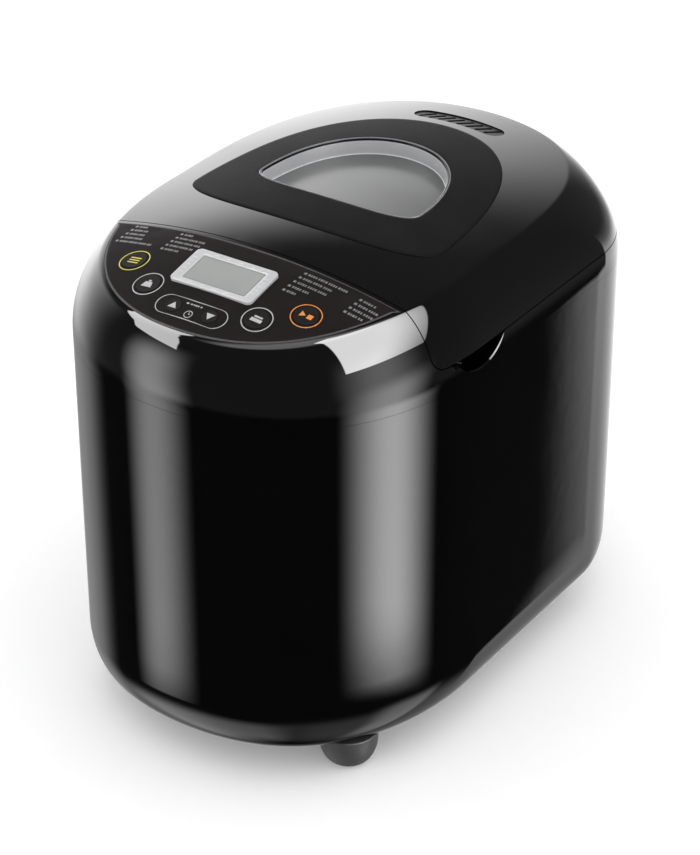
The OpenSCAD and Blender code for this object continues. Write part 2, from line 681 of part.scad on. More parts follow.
module motor_stator() color(tin) on_motor(0) difference() {
    union() {
        translate([0, 0, bracket_top + touch]) cylinder(d = 62, h = 12);
        translate([-33, -33, 60]) cube([66, 66, 34]);
        translate([0, 0, 94]) cylinder(d = 62, h = 10);
    }
    translate([0, 0, 53]) cylinder(d = 50, h = 8);
    translate([0, 0, 58]) cylinder(d = 32, h = 38);
    translate([0, 0, 93]) cylinder(d = 50, h = 8);
    translate([0, 0, 40]) cylinder(d = 6 + running_gap, h = 80);
}
module motor_rotor() color(steel) on_motor(0) {
    translate([0, 0, 29]) cylinder(d = 6, h = 88);
    translate([0, 0, 62]) cylinder(d = 31, h = 30);
}
module motor_fan() color([0.85, 0.85, 0.82]) on_motor(105.5) {
    tube(14, 6, 10);
    tube(54, 13.6, 1.6);
    for (a = [0:45:315]) rotate([0, 0, a]) translate([6.8, -0.8, 0]) cube([19.5, 1.6, 10]);
}

module run_capacitor() color([0.85, 0.85, 0.83]) {
    translate([71, -80, floor_gap + wall]) cube([16, 30, 22]);
    for (y = [-71, -59]) translate([79, y, floor_gap + wall + 21]) cylinder(d = 3, h = 4.5);
}

module power_board() {
    color(board_green) translate([-64, -126, bracket_top]) cube([1.6, 46, 78]);
    color(dark) translate([-62.5, -122, 58]) cube([18, 24, 22]);
    color([0.9, 0.9, 0.88]) translate([-62.5, -110, 90]) cube([14, 16, 20]);
    color(steel) for (y = [-120:6:-102]) translate([-62.5, y, 116]) cube([8, 4, 6]);
}

main_housing();
base_tray();
foot_front_left();
foot_front_right();
foot_rear_left();
foot_rear_right();
base_screws();
cord_gland();
upper_frame();
panel_overlay();
display_bezel();
display_glass();
control_board();
menu_key();
weight_key();
timer_up_key();
timer_down_key();
crust_key();
start_key();
lid_shell();
window_surround();
window_trim();
window_glass();
vent_grille();
lid_liner();
liner_screws();
lid_seal();
hinge_pin();
chamber();
heating_element();
element_clips();
pan_socket();
temperature_probe();
heat_shield();
bread_pan();
pan_base();
pan_bearing();
pan_handle();
pan_shaft();
kneading_paddle();
drive_shaft();
drive_bearing();
drive_pulley();
drive_belt();
drive_bracket();
motor_stator();
motor_rotor();
motor_pulley();
motor_fan();
run_capacitor();
power_board();
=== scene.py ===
"""Looks of the bread machine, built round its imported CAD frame. Metres; X right, Y back, Z up."""
import json
import math

import bmesh
import bpy
import numpy as np
from mathutils import Euler, Matrix, Vector


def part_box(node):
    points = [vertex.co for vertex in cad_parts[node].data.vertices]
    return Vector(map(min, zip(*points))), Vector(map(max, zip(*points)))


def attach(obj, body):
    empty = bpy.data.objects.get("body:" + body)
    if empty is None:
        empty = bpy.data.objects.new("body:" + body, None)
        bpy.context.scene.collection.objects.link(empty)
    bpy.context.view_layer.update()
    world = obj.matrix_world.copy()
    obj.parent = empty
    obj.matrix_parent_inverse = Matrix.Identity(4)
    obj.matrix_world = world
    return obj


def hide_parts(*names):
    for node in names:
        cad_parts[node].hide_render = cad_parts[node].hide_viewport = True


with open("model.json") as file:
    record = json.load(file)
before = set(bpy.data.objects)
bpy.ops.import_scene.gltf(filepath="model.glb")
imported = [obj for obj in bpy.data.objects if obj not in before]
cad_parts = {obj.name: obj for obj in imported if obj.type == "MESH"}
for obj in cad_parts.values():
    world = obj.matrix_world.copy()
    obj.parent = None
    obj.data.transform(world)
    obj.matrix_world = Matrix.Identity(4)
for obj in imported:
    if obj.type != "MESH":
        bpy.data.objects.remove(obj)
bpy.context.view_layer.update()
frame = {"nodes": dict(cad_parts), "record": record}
MM = 0.001

# ---- driving dimensions, in millimetres, as the frame has them ----
low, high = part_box("main_housing")
HALF_W = high.x / MM
FRONT = -low.y / MM
BACK = 164.0
SEAM_Z = 218.5
SPLIT_Z = 232.0
CROWN_Z = 276.5
SIDE_DROP, FRONT_DROP, REAR_DROP = 11.6, 24.0, 6.5
CROWN_HALF, FRONT_RUN, REAR_FLAT = 95.0, 165.0, 10.0
FLOOR_GAP = low.z / MM
WALL = 3.0
PANEL_BACK = -87.0
SIDE_FRONT, SIDE_BACK = -48.0, 76.0
CURL_Z = 222.0
LEAN = 60
CREASE_W, CREASE_FRONT, CREASE_BACK = 95.0, -158.0, 135.0
BOTTOM_ROUND, BOTTOM_INSET = 24.0, 10.0
DECK_Z, DECK_T = 227.0, 3.0
PANEL_C = (0.0, -118.0)
DISPLAY_Y, TIMER_Y = -115.0, -142.5
BEZEL_W, BEZEL_D = 50.0, 27.0
AXIS_Y = 28.0
CHAMBER_W, CHAMBER_D = 174.0, 190.0
HINGE_Y, HINGE_Z = 164.5, 232.2
KNUCKLE_X, KNUCKLE_HALF, LID_KNUCKLE_HALF = 28.1, 6.0, 21.6
BARREL_R, PIN_R, KNUCKLE_GAP = 5.5, 2.0, 0.4
VENT_Y, VENT_R, VENT_SWEEP, VENT_HALF = 107.0, 7.0, 118.0, 10.4
PANE_TOP, PANE_UNDER = -8.4, -10.9
NOTCH_Y, NOTCH_R, NOTCH_Z, NOTCH_DEPTH = -49.5, 28.5, 250.0, 12.6
CORNER_R = 9.0
SLOT_XS, SLOT_W, SLOT_H, SLOT_Z = range(-24, 25, 8), 3.5, 46.0, 103.0
GLAND_R, GLAND_Z = 7.0, 48.0
CLEAR = 0.4
PAN_W, PAN_D, PAN_Z, PAN_RIM_Z = 124.0, 150.0, 66.0, 190.0
FEET = [(-74, -114), (74, -114), (-79, 91), (79, 91)]
KEYS = {"menu_key": (-53, -119.6), "weight_key": (-33.5, -133.7), "timer_up_key": (-11, TIMER_Y),
        "timer_down_key": (11, TIMER_Y), "crust_key": (33.5, -133.7), "start_key": (53, -119.6)}
KEY_R, TIMER_R, KEY_GAP = 6.5, 4.4, 0.25
N = 44                      # steps along each quarter of a plan
FAR, SKY = 200.0, 300.0     # reach of the boolean tools, past every side and past the top


# ---- shape rules, the same as the frame's ----

def top_z(x, y):
    """Height of the crowned top over a point of the plan."""
    return (CROWN_Z - SIDE_DROP * (x / CROWN_HALF) ** 2
            - FRONT_DROP * (np.maximum(0, -y) / FRONT_RUN) ** 3
            - REAR_DROP * (np.maximum(0, y - REAR_FLAT) / CROWN_HALF) ** 2)


def bezier(a, b, c, d):
    """Points along a cubic curve."""
    a, b, c, d = (np.array(p, float) for p in (a, b, c, d))
    t = np.linspace(0, 1, N + 1)[:, None]
    return a * (1 - t) ** 3 + 3 * b * (1 - t) ** 2 * t + 3 * c * (1 - t) * t ** 2 + d * t ** 3


def mirrored(half):
    return np.vstack([half, (half * [-1, 1])[-2:0:-1]])


def closed_plan(front, rear, steps=14):
    """Whole plan from its front and rear quarters, with the straight side between them divided."""
    side = np.linspace(front[-1], rear[0], steps + 1)[1:-1]
    return mirrored(np.vstack([front, side, rear]))


def wall_plan(e=0.0):
    """Plan of the upright wall, moved in by e."""
    w, f, b = HALF_W - e, e - FRONT, BACK - e
    front = bezier((0, f), (0.8 * w, f), (w, SIDE_FRONT - 0.4 * (SIDE_FRONT - f)), (w, SIDE_FRONT))
    rear = bezier((w, SIDE_BACK), (w, (SIDE_BACK + b) / 2), (w / 2, b), (0, b))
    return closed_plan(front, rear)


def crease_plan(e=0.0):
    """Plan of the crease where the leaning side meets the crown, moved in by e."""
    w, f, b = CREASE_W - e, CREASE_FRONT + e, CREASE_BACK - e
    front = bezier((0, f), (0.58 * w, f), (1.02 * w, 0.77 * f), (w, -30))
    rear = bezier((w, 0), (w, 0.63 * b), (0.74 * w, b), (0, b))
    return closed_plan(front, rear)


def d_plan(w, back, front, bow):
    """Plan of the window and of its surround: a bowed front edge under a round back."""
    ahead = bezier((0, front - bow), (0.62 * w, front - bow), (0.97 * w, front - 0.3 * bow), (w, front + 9))
    behind = bezier((w, front + 16), (0.96 * w, 0.62 * back), (0.52 * w, back), (0, back))
    return closed_plan(ahead, behind, 3)


def shrink(plan, e, c):
    """Plan with each point moved by e towards c."""
    away = np.array(c, float) - plan
    return plan + away * (e / np.linalg.norm(away, axis=1))[:, None]


def scaled(plan, s, c):
    return np.array(c) + (plan - np.array(c)) * s


def on_top(plan, rise=0.0):
    """Ring that lies on the crowned top, or above it by rise."""
    return np.column_stack([plan, top_z(plan[:, 0], plan[:, 1]) + rise])


def at_height(plan, z):
    return np.column_stack([plan, np.full(len(plan), float(z))])


def lean_ring(e, angle):
    """Ring on the leaning side, angle degrees round from the upright wall towards the crease."""
    a, m = math.radians(angle), math.radians(LEAN)
    f, g = (1 - math.cos(a)) / (1 - math.cos(m)), math.sin(a) / math.sin(m)
    lower, upper = wall_plan(e), crease_plan(e)
    z = CURL_Z + (top_z(upper[:, 0], upper[:, 1]) - e - CURL_Z) * g
    return np.column_stack([lower * (1 - f) + upper * f, z])


# ---- mesh helpers ----

def add_object(name, mesh):
    obj = bpy.data.objects.new(name, mesh)
    bpy.context.scene.collection.objects.link(obj)
    return obj


def from_rings(name, rings, close_round=False, caps=None):
    """Mesh from rings of points in millimetres; caps are two end points, or None for a closed section."""
    n, m = len(rings[0]), len(rings)
    points = np.vstack(rings)
    if caps is not None:
        points = np.vstack([points, caps])
    faces = []
    for j in range(m if close_round else m - 1):
        up = (j + 1) % m
        for i in range(n):
            k = (i + 1) % n
            faces.append((j * n + i, j * n + k, up * n + k, up * n + i))
    if caps is not None:
        faces += [(m * n, (i + 1) % n, i) for i in range(n)]
        faces += [(m * n + 1, (m - 1) * n + i, (m - 1) * n + (i + 1) % n) for i in range(n)]
    mesh = bpy.data.meshes.new(name)
    mesh.from_pydata((points * MM).tolist(), [], faces)
    mesh.validate()
    obj = add_object(name, mesh)
    face_out(obj)
    return obj


def face_out(obj):
    bm = bmesh.new()
    bm.from_mesh(obj.data)
    bmesh.ops.remove_doubles(bm, verts=bm.verts, dist=1e-7)
    bmesh.ops.recalc_face_normals(bm, faces=bm.faces)
    bm.to_mesh(obj.data)
    bm.free()


def smooth(obj, angle=20):
    obj.data.shade_smooth()
    obj.data.set_sharp_from_angle(angle=math.radians(angle))


def apply_modifiers(obj):
    graph = bpy.context.evaluated_depsgraph_get()
    mesh = bpy.data.meshes.new_from_object(obj.evaluated_get(graph))
    obj.modifiers.clear()
    obj.data = mesh


def combine(obj, tools, how):
    """Boolean with each tool in turn; the tools are deleted."""
    for tool in tools:
        mod = obj.modifiers.new("cut", "BOOLEAN")
        mod.operation = how
        mod.solver = "MANIFOLD"
        mod.object = tool
        bpy.context.view_layer.update()
        apply_modifiers(obj)
        bpy.data.objects.remove(tool)
    return obj


def cut(obj, *tools):
    return combine(obj, tools, "DIFFERENCE")


def fuse(obj, *tools):
    return combine(obj, tools, "UNION")


def common(obj, *tools):
    return combine(obj, tools, "INTERSECT")


def block(x0, y0, z0, x1, y1, z1):
    """Box between two corners, in millimetres, as a boolean tool."""
    ring = np.array([(x0, y0), (x1, y0), (x1, y1), (x0, y1)], float)
    return prism(ring, z0, z1)


def across(y0, y1):
    """The whole top between two planes across the machine, as a boolean tool."""
    return block(-FAR, y0, 200, FAR, y1, SKY)


def prism(plan, z0, z1, name="tool"):
    """Upright prism on a plan, in millimetres."""
    n = len(plan)
    bm = bmesh.new()
    lower = [bm.verts.new((x * MM, y * MM, z0 * MM)) for x, y in plan]
    upper = [bm.verts.new((x * MM, y * MM, z1 * MM)) for x, y in plan]
    bm.faces.new(lower[::-1])
    bm.faces.new(upper)
    for i in range(n):
        k = (i + 1) % n
        bm.faces.new((lower[i], lower[k], upper[k], upper[i]))
    bmesh.ops.recalc_face_normals(bm, faces=bm.faces)
    mesh = bpy.data.meshes.new(name)
    bm.to_mesh(mesh)
    bm.free()
    return add_object(name, mesh)


def rod(r, length, centre, axis="X", segments=64, name="tool"):
    """Round bar about a centre, in millimetres, along a row axis."""
    bm = bmesh.new()
    bmesh.ops.create_cone(bm, cap_ends=True, segments=segments,
                          radius1=r * MM, radius2=r * MM, depth=length * MM)
    turn = {"X": Matrix.Rotation(math.pi / 2, 4, "Y"), "Y": Matrix.Rotation(math.pi / 2, 4, "X"),
            "Z": Matrix.Identity(4)}[axis]
    bm.transform(Matrix.Translation(Vector(centre) * MM) @ turn)
    mesh = bpy.data.meshes.new(name)
    bm.to_mesh(mesh)
    bm.free()
    return add_object(name, mesh)


def cone(r0, r1, start, length, segments=96):
    """Cone along X from a start point, as a boolean tool; a negative length points to -X."""
    turn = [2 * math.pi * i / segments for i in range(segments)]
    ends = [np.array([(start[0] + x, start[1] + r * math.cos(a), start[2] + r * math.sin(a)) for a in turn])
            for r, x in ((r0, 0), (r1, length))]
    return from_rings("tool", ends, caps=[start, (start[0] + length, *start[1:])])


def rounded_plan(w, d, r, steps=10):
    """Rectangle about the origin with round corners."""
    pts = []
    for cx, cy, start in ((1, 1, 0), (-1, 1, 90), (-1, -1, 180), (1, -1, 270)):
        for i in range(steps + 1):
            a = math.radians(start + 90 * i / steps)
            pts.append((cx * (w / 2 - r) + r * math.cos(a), cy * (d / 2 - r) + r * math.sin(a)))
    return np.array(pts)


def lathe(name, profile, centre=(0, 0, 0), segments=64):
    """Turned piece from (radius, height) pairs, in millimetres; ends with radius 0 are closed points."""
    bm = bmesh.new()
    rings = []
    for r, z in profile:
        count = 1 if r == 0 else segments
        rings.append([bm.verts.new(((centre[0] + r * math.cos(2 * math.pi * i / segments)) * MM,
                                    (centre[1] + r * math.sin(2 * math.pi * i / segments)) * MM,
                                    (centre[2] + z) * MM)) for i in range(count)])
    for a, b in zip(rings, rings[1:]):
        for i in range(segments):
            k = (i + 1) % segments
            quad = [a[i % len(a)], a[k % len(a)], b[k % len(b)], b[i % len(b)]]
            quad = list(dict.fromkeys(quad))
            if len(quad) > 2:
                bm.faces.new(quad)
    bmesh.ops.recalc_face_normals(bm, faces=bm.faces)
    mesh = bpy.data.meshes.new(name)
    bm.to_mesh(mesh)
    bm.free()
    return add_object(name, mesh)


def panel_matrix(x, y):
    """Place on the key panel at plan point (x, y), with Z along its outward normal."""
    slope_y = 3 * FRONT_DROP * (y / FRONT_RUN) ** 2 / FRONT_RUN
    slope_x = 2 * SIDE_DROP * x / CROWN_HALF ** 2
    turn = Euler((math.atan(slope_y), math.atan(slope_x), 0)).to_matrix().to_4x4()
    return Matrix.Translation(Vector((x, y, float(top_z(x, y)))) * MM) @ turn


# ---- materials ----

def material(name, base, rough, metal=0.0, **sockets):
    """Principled material; further sockets are named with _ for each space."""
    mat = bpy.data.materials.new(name)
    mat.use_nodes = True
    shader = mat.node_tree.nodes["Principled BSDF"]
    shader.inputs["Base Color"].default_value = (*base, 1)
    shader.inputs["Roughness"].default_value = rough
    shader.inputs["Metallic"].default_value = metal
    for key, value in sockets.items():
        shader.inputs[key.replace("_", " ")].default_value = value
    return mat


def link(mat, source, target):
    mat.node_tree.links.new(source, target)


def noise(mat, scale, detail=3.0, stretch=(1, 1, 1)):
    """Noise in the object's own space, in which lengths are metres."""
    nodes = mat.node_tree.nodes
    coords = nodes.new("ShaderNodeTexCoord")
    mapping = nodes.new("ShaderNodeMapping")
    mapping.inputs["Scale"].default_value = stretch
    tex = nodes.new("ShaderNodeTexNoise")
    tex.inputs["Scale"].default_value = scale
    tex.inputs["Detail"].default_value = detail
    link(mat, coords.outputs["Object"], mapping.inputs["Vector"])
    link(mat, mapping.outputs["Vector"], tex.inputs["Vector"])
    return tex.outputs["Fac"]


def spread(mat, value, low_value, high_value, start=0.3, end=0.7):
    """Maps a texture value to a range."""
    node = mat.node_tree.nodes.new("ShaderNodeMapRange")
    node.inputs["From Min"].default_value = start
    node.inputs["From Max"].default_value = end
    node.inputs["To Min"].default_value = low_value
    node.inputs["To Max"].default_value = high_value
    link(mat, value, node.inputs["Value"])
    return node.outputs["Result"]


def tint(mat, value, dark, light):
    """Varies the base colour between two colours by a texture value."""
    ramp = mat.node_tree.nodes.new("ShaderNodeValToRGB")
    ramp.color_ramp.elements[0].position = 0.3
    ramp.color_ramp.elements[1].position = 0.7
    ramp.color_ramp.elements[0].color = (*dark, 1)
    ramp.color_ramp.elements[1].color = (*light, 1)
    link(mat, value, ramp.inputs["Fac"])
    link(mat, ramp.outputs["Color"], mat.node_tree.nodes["Principled BSDF"].inputs["Base Color"])


def bump(mat, value, strength, distance):
    node = mat.node_tree.nodes.new("ShaderNodeBump")
    node.inputs["Strength"].default_value = strength
    node.inputs["Distance"].default_value = distance
    link(mat, value, node.inputs["Height"])
    link(mat, node.outputs["Normal"], mat.node_tree.nodes["Principled BSDF"].inputs["Normal"])


def rough_by(mat, value, low_value, high_value):
    link(mat, spread(mat, value, low_value, high_value),
         mat.node_tree.nodes["Principled BSDF"].inputs["Roughness"])


def gloss_black():
    """Polished black plastic with the slightest waviness."""
    mat = material("gloss_black", (0.001, 0.001, 0.001), 0.02)
    rough_by(mat, noise(mat, 18, 2), 0.015, 0.03)
    tint(mat, noise(mat, 30, 3), (0.0008, 0.0008, 0.0008), (0.0013, 0.0013, 0.0013))
    bump(mat, noise(mat, 55, 2), 0.02, 0.0004)
    return mat


def satin_black(name="satin_black", base=0.012, grain=900, shine=0.2):
    """Matt black plastic with a fine moulded grain."""
    mat = material(name, (base, base, base), 0.42, Specular_IOR_Level=shine)
    value = noise(mat, grain, 2)
    rough_by(mat, value, 0.38, 0.5)
    tint(mat, noise(mat, 60, 3), (base * 0.85,) * 3, (base * 1.2,) * 3)
    bump(mat, value, 0.18, 0.00012)
    return mat


def plain(name, base, rough, metal=0.0, grain=400, depth=0.0001, strength=0.12,
          variation=0.12, **sockets):
    """Moulded or cast finish: fine grain, a little colour variation and uneven gloss."""
    mat = material(name, base, rough, metal, **sockets)
    value = noise(mat, grain, 3)
    rough_by(mat, noise(mat, grain / 6, 2), rough * 0.85, min(1, rough * 1.2))
    dark, light = (tuple(min(1, c * k) for c in base) for k in (1 - variation, 1 + variation))
    tint(mat, noise(mat, 40, 4), dark, light)
    bump(mat, value, strength, depth)
    return mat


def brushed(name, base, rough, along=(1, 1, 1), scale=60):
    """Sheet metal with fine parallel brushing."""
    mat = material(name, base, rough, 1.0)
    lines = noise(mat, scale, 3, along)
    rough_by(mat, lines, rough * 0.75, rough * 1.3)
    dark, light = (tuple(c * k for c in base) for k in (0.9, 1.06))
    tint(mat, noise(mat, 14, 3), dark, light)
    bump(mat, lines, 0.06, 0.00003)
    return mat


def nonstick():
    """Dark coating with fine pale flecks."""
    mat = material("nonstick", (0.07, 0.07, 0.073), 0.38, Metallic=0.25)
    flecks = noise(mat, 1400, 1)
    tint(mat, flecks, (0.055, 0.055, 0.058), (0.13, 0.13, 0.135))
    rough_by(mat, noise(mat, 120, 2), 0.32, 0.45)
    bump(mat, noise(mat, 500, 2), 0.15, 0.0001)
    return mat


def glass_grey():
    """Fogged grey pane, nearly opaque."""
    mat = material("window_glass", (0.16, 0.163, 0.17), 0.25, IOR=1.5, Transmission_Weight=0.25)
    tint(mat, noise(mat, 9, 2), (0.135, 0.136, 0.138), (0.16, 0.161, 0.163))
    rough_by(mat, noise(mat, 12, 2), 0.22, 0.28)
    return mat


def lcd_glass():
    """Grey display glass under a clear coat."""
    mat = material("lcd", (0.36, 0.37, 0.36), 0.18, Coat_Weight=0.3, Coat_Roughness=0.05)
    tint(mat, noise(mat, 25, 2), (0.32, 0.33, 0.325), (0.40, 0.41, 0.40))
    bump(mat, noise(mat, 800, 1), 0.03, 0.00005)
    return mat


MAT = {
    "gloss_black": gloss_black(),
    "satin_black": satin_black(),
    "surround_black": satin_black("surround_black", 0.008, 1200, 0.015),
    "panel_print": plain("panel_print", (0.012, 0.010, 0.010), 0.45, grain=700, depth=0.00003,
                         Specular_IOR_Level=0.02),
    "key_cap": plain("key_cap", (0.013, 0.011, 0.011), 0.40, grain=700, depth=0.00003,
                     Specular_IOR_Level=0.04),
    "bezel_grey": plain("bezel_grey", (0.50, 0.50, 0.51), 0.35, variation=0.05),
    "lcd": lcd_glass(),
    "window_glass": glass_grey(),
    "window_wall": plain("window_wall", (0.43, 0.43, 0.44), 0.4, variation=0.04),
    # grey of a painted highlight: the band of light along the key panel's rim, drawn as a grey ring
    "painted_rim_highlight": plain("painted_rim_highlight", (0.07, 0.07, 0.07), 0.4, Specular_IOR_Level=0.1),
    # grey of a painted highlight: the bright line along the gloss-black window bead
    "bead_highlight_paint": plain("bead_highlight_paint", (0.22, 0.22, 0.23), 0.3, variation=0.04),
    # near-white of a painted highlight: the thin bright arc along the pane's edge
    "painted_ledge_highlight": plain("painted_ledge_highlight", (0.74, 0.75, 0.77), 0.25, variation=0.04),
    "liner_steel": brushed("liner_steel", (0.62, 0.63, 0.64), 0.30, (1, 30, 30), 90),
    "chamber_steel": brushed("chamber_steel", (0.60, 0.61, 0.62), 0.34, (1, 1, 24), 90),
    "screw_steel": plain("screw_steel", (0.50, 0.51, 0.52), 0.25, 1.0),
    "nonstick": nonstick(),
    "element_metal": plain("element_metal", (0.20, 0.19, 0.185), 0.42, 0.9, variation=0.25),
    "rubber_black": plain("rubber_black", (0.035, 0.035, 0.036), 0.55, grain=900, strength=0.25),
    "seal_silicone": plain("seal_silicone", (0.36, 0.07, 0.05), 0.5),
    "circuit_board": plain("circuit_board", (0.02, 0.13, 0.06), 0.35),
    "motor_steel": plain("motor_steel", (0.32, 0.33, 0.35), 0.4, 0.9, variation=0.2),
    "bronze": plain("bronze", (0.46, 0.31, 0.13), 0.35, 1.0),
    "pale_plastic": plain("pale_plastic", (0.72, 0.71, 0.66), 0.4, variation=0.05),
    "pulley_plastic": plain("pulley_plastic", (0.05, 0.05, 0.052), 0.45),
    "galvanised": plain("galvanised", (0.55, 0.56, 0.57), 0.38, 0.95, variation=0.2),
    "print_light": plain("print_light", (0.42, 0.42, 0.42), 0.4, variation=0.04),
    "print_white": plain("print_white", (0.62, 0.62, 0.62), 0.4, variation=0.04),
    "print_yellow": plain("print_yellow", (0.62, 0.56, 0.06), 0.4, variation=0.04),
    "print_orange": plain("print_orange", (0.70, 0.24, 0.03), 0.4, variation=0.04),
    "print_grey": plain("print_grey", (0.15, 0.15, 0.15), 0.4, variation=0.04),
    # dark grey of painted shade: the shadow along the edge of the recessed display glass
    "lcd_edge_shade_paint": plain("lcd_edge_shade_paint", (0.22, 0.24, 0.23), 0.4, variation=0.04),
}
SLOT_OF = {s["node"]: s["material_slot"] for s in frame["record"]["subparts"]}


def finish_piece(obj, mat, body, slot, *nodes):
    """Gives a piece its material and its body, and hides the CAD nodes that it stands for; slot is not used.
    """
    obj.data.materials.clear()
    obj.data.materials.append(MAT[mat])
    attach(obj, body)
    if nodes:
        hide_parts(*nodes)
    return obj


# ---- shells ----

def crease_fillet(e, side, crown, r=1.4, steps=5):
    """Rings that round the crease between the leaning side and the crown."""
    corner = lean_ring(e, LEAN)
    down = side - corner
    down /= np.linalg.norm(down, axis=1)[:, None]
    over = crown - corner
    over /= np.linalg.norm(over, axis=1)[:, None]
    a, b = corner + down * r, corner + over * r
    return [a * (1 - t) ** 2 + corner * 2 * t * (1 - t) + b * t ** 2 for t in np.linspace(0, 1, steps)]


def top_form(e, z0, name="tool"):
    """The whole crowned top, from the seam up, moved in by e."""
    c = (0.0, -10.0)
    rings = [at_height(wall_plan(e), z) for z in (z0, (z0 + CURL_Z) / 2, CURL_Z)]
    rings += [lean_ring(e, a) for a in range(3, LEAN - 2, 3)]
    crown = [on_top(scaled(crease_plan(e), s, c), -e) for s in np.linspace(0.96, 0.04, 18)]
    rings += crease_fillet(e, rings[-1], crown[0])
    rings += crown
    caps = [(*c, z0), (*c, float(top_z(*c)) - e)]
    return from_rings(name, rings, caps=caps)


def lid_zone(g, name="tool"):
    """Everything above the split and behind the panel, seen from the side, kept back by g."""
    r = CORNER_R - g
    back, top = 220, 320
    side = [(back, SPLIT_Z + g), (back, top), (PANEL_BACK + g, top)]
    for a in range(0, 91, 6):
        turn = math.radians(a)
        side.append((PANEL_BACK + CORNER_R - r * math.cos(turn), SPLIT_Z + CORNER_R - r * math.sin(turn)))
    obj = prism(np.array(side), -150, 150, name)
    # the prism's plan is (Y, Z) and its height is X
    obj.data.transform(Matrix(((0, 0, 1, 0), (1, 0, 0, 0), (0, 1, 0, 0), (0, 0, 0, 1))))
    face_out(obj)
    return obj


def make_housing():
    outer = [at_height(wall_plan(BOTTOM_INSET * (1 - math.sin(a))),
                       FLOOR_GAP + BOTTOM_ROUND * (1 - math.cos(a)))
             for a in np.radians(np.linspace(0, 90, 16))]
    top = SEAM_Z - 0.15
    outer += [at_height(wall_plan(0), z) for z in (60, 100, 140, 180, top)]
    outer += [at_height(wall_plan(WALL), top)]
    # the inner wall ends in the open bottom
    inner = [at_height(wall_plan(WALL + BOTTOM_INSET * (1 - math.sin(a))),
                       FLOOR_GAP + (0 if a == 0 else WALL + (BOTTOM_ROUND - WALL) * (1 - math.cos(a))))
             for a in np.radians([90, 60, 30, 0])]
    obj = from_rings("housing", outer + inner, close_round=True)
    for x in SLOT_XS:
        slot = prism(rounded_plan(SLOT_W, SLOT_H, 1.7, 4), -20, 20)
        slot.data.transform(Matrix.Translation(Vector((x, BACK - 5, SLOT_Z)) * MM)
                            @ Matrix.Rotation(math.pi / 2, 4, "X"))
        cut(obj, slot)
    cut(obj, rod(GLAND_R, 30, (0, BACK - 5, GLAND_Z), "Y"))
    smooth(obj, 25)
    return finish_piece(obj, "gloss_black", "body", "gloss_black", "main_housing")


def panel_outline(e):
    """Plan of the key panel: the front of the crease, squared off at the back."""
    cut_y = PANEL_BACK - e
    w = 90 - e
    full = crease_plan(e)
    arc = full[full[:, 1] < cut_y - 2]
    right = arc[arc[:, 0] >= 0]
    left = arc[arc[:, 0] < 0]
    back = np.column_stack([np.linspace(w, -w, 41), np.full(41, cut_y)])
    return np.vstack([right, back, left])


def crown_slab(name, plan, c, lo, hi, steps=12, edge=0.0):
    """Slab that follows the crowned top over a plan; edge rounds its upper rim."""
    lower = [on_top(scaled(plan, s, c), lo) for s in np.linspace(0.05, 1, steps)]
    rim = [on_top(plan, hi - edge)]
    if edge:
        rim += [on_top(shrink(plan, edge * (1 - math.cos(a)), c), hi - edge * (1 - math.sin(a)))
                for a in np.radians([22, 45, 68])]
    upper = [on_top(scaled(shrink(plan, edge, c), s, c), hi) for s in np.linspace(1, 0.05, steps)]
    caps = [(*c, float(top_z(*c)) + lo), (*c, float(top_z(*c)) + hi)]
    return from_rings(name, lower + rim + upper, caps=caps)


def crown_ring(name, outer, inner, lo, hi, steps=10, edge=0.3):
    """Ring that follows the crowned top between two plans, with rounded upper rims."""

    def between(t):
        return outer * (1 - t) + inner * t

    width = float(np.linalg.norm(outer - inner, axis=1).mean())
    k = edge / width
    rings = [on_top(outer, lo), on_top(outer, hi - edge), on_top(between(0.3 * k), hi - 0.3 * edge)]
    rings += [on_top(between(t), hi) for t in np.linspace(k, 1 - k, steps)]
    rings += [on_top(between(1 - 0.3 * k), hi - 0.3 * edge), on_top(inner, hi - edge), on_top(inner, lo)]
    rings += [on_top(between(t), lo) for t in np.linspace(0.9, 0.1, steps)]
    return from_rings(name, rings, close_round=True)


def barrel(x0, x1, r):
    """Round bar on the hinge's axis."""
    return rod(r, x1 - x0, ((x0 + x1) / 2, HINGE_Y, HINGE_Z), "X", 48)


